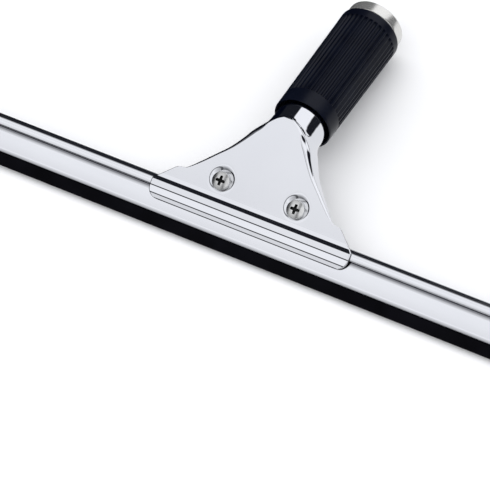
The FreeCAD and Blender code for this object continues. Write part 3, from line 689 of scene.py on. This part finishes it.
def make_rail():
    """The whole rail: stretches between stations, capped ends and two holes behind."""
    front, back = np.array(rail_side("early")), np.array(rail_side("late"))
    inside, inside_back = rail_inside(front), rail_inside(back)
    back, inside_back = back[::-1] * (1, -1), inside_back[::-1] * (1, -1)
    loop = np.concatenate([front, back, inside_back[::-1], inside[::-1]])
    hole = RAIL_HOLE_HALF
    stations = [-CHANNEL_HALF, -hole - PATCH, -hole + PATCH, hole - PATCH, hole + PATCH,
                CHANNEL_HALF]
    points, faces = [], []
    for x in stations:
        points += [(x, p, z + CHANNEL_MIDDLE) for p, z in loop]
    count = len(loop)
    lowest, highest = RAIL_HOLE_REACH - PATCH, RAIL_HOLE_REACH + PATCH
    for i in range(len(stations) - 1):
        for j in range(count):
            a, b = j, (j + 1) % count
            spans_hole = {round(loop[a][0], 3), round(loop[b][0], 3)} \
                == {round(lowest, 3), round(highest, 3)}
            if i in (1, 3) and spans_hole and loop[a][1] < 0:
                continue
            faces.append((i * count + a, i * count + b, (i + 1) * count + b,
                          (i + 1) * count + a))
    for i in (0, len(stations) - 1):
        half = len(front)
        for j in range(2 * half - 1):
            a, b = j, j + 1
            faces.append(tuple(i * count + k for k in (a, b, count - 1 - b, count - 1 - a)))
    for side in (-1, 1):
        add_rail_hole(points, faces, side * hole)
    return make_object("rail_profile", stand(points), faces, (CHANNEL_STEEL,))


def add_rail_hole(points, faces, middle):
    """The square patch of the back leg round one hole, and the hole's wall."""
    turns = np.radians(np.arange(0, 360, 7.5))
    start = len(points)
    for z in (-LEG_HALF, RAIL_SHEET - LEG_HALF):
        for reach in ("square", "circle"):
            for turn in turns:
                c, s = math.cos(turn), math.sin(turn)
                r = PATCH / max(abs(c), abs(s)) if reach == "square" else RAIL_HOLE_ROUND
                points.append((middle + r * c, RAIL_HOLE_REACH + r * s, z + CHANNEL_MIDDLE))
    n = len(turns)
    for first, second in ((0, 1), (1, 3), (3, 2)):
        for k in range(n):
            faces.append((start + first * n + k, start + first * n + (k + 1) % n,
                          start + second * n + (k + 1) % n, start + second * n + k))


# Painted shade along the channel's fold: the front leg darkens towards the crease.
paint_shade_towards_fold(CHANNEL_STEEL, (0.22, 0.22, 0.24), 3.2, 5.78)
stand_in(make_rail(), "channel_rail", "channel")


# ---------------------------------------------------------------- rocking clip and spring
CLIP_MIDDLE = [(-1.25, -10.5), (1.35, -9.1), (10.5, -9.1), (13.55, -2.7), (22.4, -2.7),
               (27.5, -4.19), (43.0, -11.66), (46.9, -9.6)]
CLIP_WIDTH = table([-2.0, 0.4, 1.2, 2.4, 3.6, 9.1, 10.2, 11.0, 11.7, 16.0, 18.6, 22.05, 27.0,
                    33.0, 39.0, 43.5, 45.5, 46.7, 47.4],
                   [47.6, 48.0, 49.6, 50.6, 51.0, 51.0, 50.6, 49.7, 48.2, 36.0, 28.6, 21.8,
                    15.9, 11.0, 8.4, 8.4, 7.4, 5.9, 4.2])
CLIP_ROWS, CLIP_COLUMNS = 130, 220
CLIP_HOLE, RIVET_HOLE = 3.9, 1.5
PIVOT_RISE, DOME_BORE, DOME_ROUND, DOME_REACH = 6.03, 9.73, 10.93, 6.5
SPRING_REACH = 36.0
CUP_FLOOR = -SHEET - 0.5


def bent_strip(corners, radius):
    """Points and unit normals along an open strip with rounded bends."""
    path = soften(corners, radius, 8)[9:-9]
    path = np.concatenate([[corners[0]], path, [corners[-1]]])
    gaps = np.hypot(*np.diff(path, axis=0).T)
    places = np.concatenate([[0], np.cumsum(gaps)])
    even = np.linspace(0, places[-1], CLIP_ROWS)
    path = np.stack([np.interp(even, places, path[:, k]) for k in (0, 1)], 1)
    along = np.gradient(path, axis=0)
    normal = np.stack([-along[:, 1], along[:, 0]], 1) / np.hypot(*along.T)[:, None]
    return path, normal


def make_clip():
    """The clip: a bent strip cut to its outline, with a dome pressed round each screw."""
    path, normal = bent_strip(CLIP_MIDDLE, 1.2)
    rows, count = len(path), CLIP_COLUMNS
    share = np.linspace(-1, 1, count)
    skins = []
    for side, dome in ((1, DOME_BORE), (-1, DOME_ROUND)):
        face = path + normal * side * SHEET / 2
        x = np.outer(CLIP_WIDTH(path[:, 0]), share)
        p = np.repeat(face[:, :1], count, 1)
        z = np.repeat(face[:, 1:], count, 1)
        away = np.hypot(np.abs(x) - SCREW_HALF, p - SCREW_REACH)
        cap = PIVOT_RISE - np.sqrt(np.clip(dome ** 2 - away ** 2, 0.0, None))
        pressed = np.where((away < DOME_REACH) & (p > 11), np.minimum(z, cap), z)
        skins.append(np.stack([x, p, pressed], -1).reshape(-1, 3))
    points = np.concatenate(skins)
    index = np.arange(rows * count).reshape(rows, count)
    back = index + rows * count
    faces = np.concatenate([quads_of(index), quads_of(back, True)])
    middle = points[faces].mean(1)
    away = np.hypot(np.abs(middle[:, 0]) - SCREW_HALF, middle[:, 1] - SCREW_REACH)
    rivet = np.hypot(middle[:, 0], middle[:, 1] - SPRING_REACH)
    faces = faces[(away > CLIP_HOLE) & (rivet > RIVET_HOLE)]
    edges = []
    for line, other in ((index[:, 0], back[:, 0]), (index[:, -1], back[:, -1]),
                        (index[0], back[0]), (index[-1], back[-1])):
        edges.append(np.stack([line[:-1], line[1:], other[1:], other[:-1]], 1))
    edges = np.concatenate(edges)
    # The clip's cut edges take the dark grey second material, partly painted shade.
    marks = np.concatenate([np.zeros(len(faces), int), np.ones(len(edges), int)])
    return make_object("clip_sheet", stand(points), np.concatenate([faces, edges]),
                       (CLIP_STEEL, CUT_STEEL_AND_SHADE), marks)


def make_coil():
    """The return spring: a round wire wound down from the cup."""
    turns, radius, wire, pitch = 2.5, 3.1, 0.45, 1.24
    base = CUP_FLOOR - wire - 0.1
    steps, ring = 160, 14
    points = []
    for step in range(steps + 1):
        around = 2 * math.pi * turns * step / steps
        drop = pitch * turns * step / steps
        for k in range(ring):
            twist = 2 * math.pi * k / ring
            r = radius + wire * math.cos(twist)
            points.append((r * math.cos(around), SPRING_REACH - r * math.sin(around),
                           base - drop + wire * math.sin(twist)))
    index = np.arange(len(points)).reshape(steps + 1, ring)
    closed = np.concatenate([index, index[:, :1]], 1)
    faces = [tuple(f) for f in quads_of(closed)] + [tuple(index[0]), tuple(index[-1])]
    return make_object("coil", stand(points), faces, (SPRING_STEEL,))


stand_in(make_clip(), "clip", "clip_plate")
coil = make_coil()
stand_in(coil, "handle", "return_spring")
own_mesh(coil)

for node, material in (
        ("pole_socket_liner", SOCKET_PLASTIC), ("spring_cup", SPRING_STEEL),
        ("spring_rivet", SCREW_STEEL), ("rubber_blade", BLADE_RUBBER),
        ("nut_left", SCREW_STEEL), ("nut_right", SCREW_STEEL),
        ("end_clip_left", SPRING_STEEL), ("end_clip_right", SPRING_STEEL)):
    paint(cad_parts[node], material)


# ---------------------------------------------------------------- stage
def make_floor():
    """The plain pale floor, which mirror reflections don't see."""
    n = Nodes("pale_floor")
    cloud = n.noise(6.0)
    n.link(n.ramp(cloud, "Fac", (0.90, 0.90, 0.905), (0.93, 0.93, 0.935)), "Color",
           n.shader, "Base Color")
    n.set(Roughness=0.9, Specular_IOR_Level=0.0)
    size = 4.0
    corners = [(-size, -size, 0), (size, -size, 0), (size, size, 0), (-size, size, 0)]
    floor = make_object("floor", corners, [(0, 1, 2, 3)], (n.material,))
    floor.visible_glossy = False


# The sky's brightness at angles, in degrees, up from the horizon on the blade's side.
LOW_SKY = ((-20, 0.01), (16, 0.01), (30, 0.45), (43.6, 0.74), (52, 0.98), (57, 0.83),
           (59.2, 0.83), (61.5, 0.92), (72, 0.93), (84, 0.75), (104, 0.01), (200, 0.01))


def make_world():
    """A pale room with dark cards, which only mirror reflections see.

    The sky's brightness depends on its angle over the horizon on the blade's side (-Y). A
    bright strip runs down the far side between two dark cards. The near side has a grey seam
    and a dark edge to the left, and the ground is pale except to the left.
    """
    world = bpy.data.worlds.new("studio")
    bpy.context.scene.world = world
    world.use_nodes = True
    tree = world.node_tree
    tree.nodes.clear()

    def add(kind, *inputs, **settings):
        node = tree.nodes.new("ShaderNode" + kind)
        for key, setting in settings.items():
            setattr(node, key, setting)
        for socket, source in enumerate(inputs):
            if hasattr(source, "links"):
                tree.links.new(source, node.inputs[socket])
            else:
                node.inputs[socket].default_value = source
        return node

    def math_of(operation, *inputs):
        return add("Math", *inputs, operation=operation).outputs[0]

    def rise(source, low, high):
        node = add("MapRange", source, low, high, 0.0, 1.0, interpolation_type="SMOOTHSTEP")
        return node.outputs[0]

    def fall(source, low, high):
        return math_of("SUBTRACT", 1.0, rise(source, low, high))

    where = add("TexCoord").outputs["Generated"]
    x, y, z = add("SeparateXYZ", where).outputs
    height = math_of("ARCTAN2", z, math_of("MULTIPLY", y, -1.0))
    height = math_of("MULTIPLY", height, 180 / math.pi)
    share = math_of("DIVIDE", math_of("SUBTRACT", height, LOW_SKY[0][0]),
                    LOW_SKY[-1][0] - LOW_SKY[0][0])
    sky = add("ValToRGB", share)
    ramp = sky.color_ramp
    while len(ramp.elements) < len(LOW_SKY):
        ramp.elements.new(0.5)
    for element, (degrees, level) in zip(ramp.elements, LOW_SKY):
        element.position = (degrees - LOW_SKY[0][0]) / (LOW_SKY[-1][0] - LOW_SKY[0][0])
        element.color = (level, level, level, 1)
    level = sky.outputs[0]
    far_side = rise(height, 84.0, 92.0)
    strip = math_of("MULTIPLY", rise(x, -0.26, -0.20), fall(x, 0.56, 0.62))
    level = math_of("MAXIMUM", level, math_of("MULTIPLY", strip, far_side))
    near_side = math_of("SUBTRACT", 1.0, far_side)
    seam = math_of("MULTIPLY", rise(x, -0.22, -0.17), fall(x, -0.08, -0.03))
    edge = fall(x, -0.66, -0.56)
    shade = math_of("MULTIPLY", math_of("MAXIMUM", math_of("MULTIPLY", seam, 0.75), edge),
                    near_side)
    level = math_of("MULTIPLY", level, math_of("SUBTRACT", 1.0, shade))
    lit = math_of("MAXIMUM", rise(x, -0.45, -0.25), fall(z, -0.88, -0.70))
    ground = math_of("MULTIPLY", fall(z, -0.12, -0.02), math_of("MULTIPLY", lit, 0.82))
    level = math_of("MAXIMUM", level, ground)
    mirrored = add("LightPath").outputs["Is Glossy Ray"]
    level = math_of("ADD", math_of("MULTIPLY", level, mirrored),
                    math_of("SUBTRACT", 1.0, mirrored))
    tint = add("Mix", data_type="RGBA")
    tree.links.new(level, tint.inputs[0])
    tint.inputs[6].default_value = (0.001, 0.002, 0.006, 1)
    tint.inputs[7].default_value = (0.965, 0.975, 1.0, 1)
    background = add("Background", tint.outputs[2], 1.0)
    add("OutputWorld", background.outputs[0])


def add_light(name, place, size, power):
    """A square soft light aimed at the object, itself unseen in mirror reflections."""
    data = bpy.data.lights.new(name, "AREA")
    data.size, data.energy = size, power
    lamp = bpy.data.objects.new(name, data)
    lamp.location = place
    lamp.rotation_euler = (-Vector(place)).to_track_quat("-Z", "Y").to_euler()
    lamp.visible_glossy = False
    bpy.context.scene.collection.objects.link(lamp)


def make_camera():
    """The photograph's view: from the blade side, to the right and above, slightly rolled."""
    azimuth, elevation, roll = (math.radians(a) for a in (37.65, 54.24, -10.57))
    aim, distance = Vector((-0.0124, -0.0484, -0.0222)), 1.3805
    back = Vector((math.sin(azimuth) * math.cos(elevation),
                   -math.cos(azimuth) * math.cos(elevation), math.sin(elevation)))
    data = bpy.data.cameras.new("camera")
    data.lens = 206.6
    data.sensor_width = 36.0
    camera = bpy.data.objects.new("camera", data)
    camera.location = aim + back * distance
    turn = (-back).to_track_quat("-Z", "Y").to_matrix() @ Matrix.Rotation(roll, 3, "Z")
    camera.rotation_euler = turn.to_euler()
    bpy.context.scene.collection.objects.link(camera)
    bpy.context.scene.camera = camera


make_floor()
make_world()
add_light("key", (0.4, -0.9, 1.3), 2.4, 10.0)
add_light("fill", (-0.7, 0.5, 1.3), 2.6, 6.0)
make_camera()
bpy.context.scene.view_settings.view_transform = "Standard"
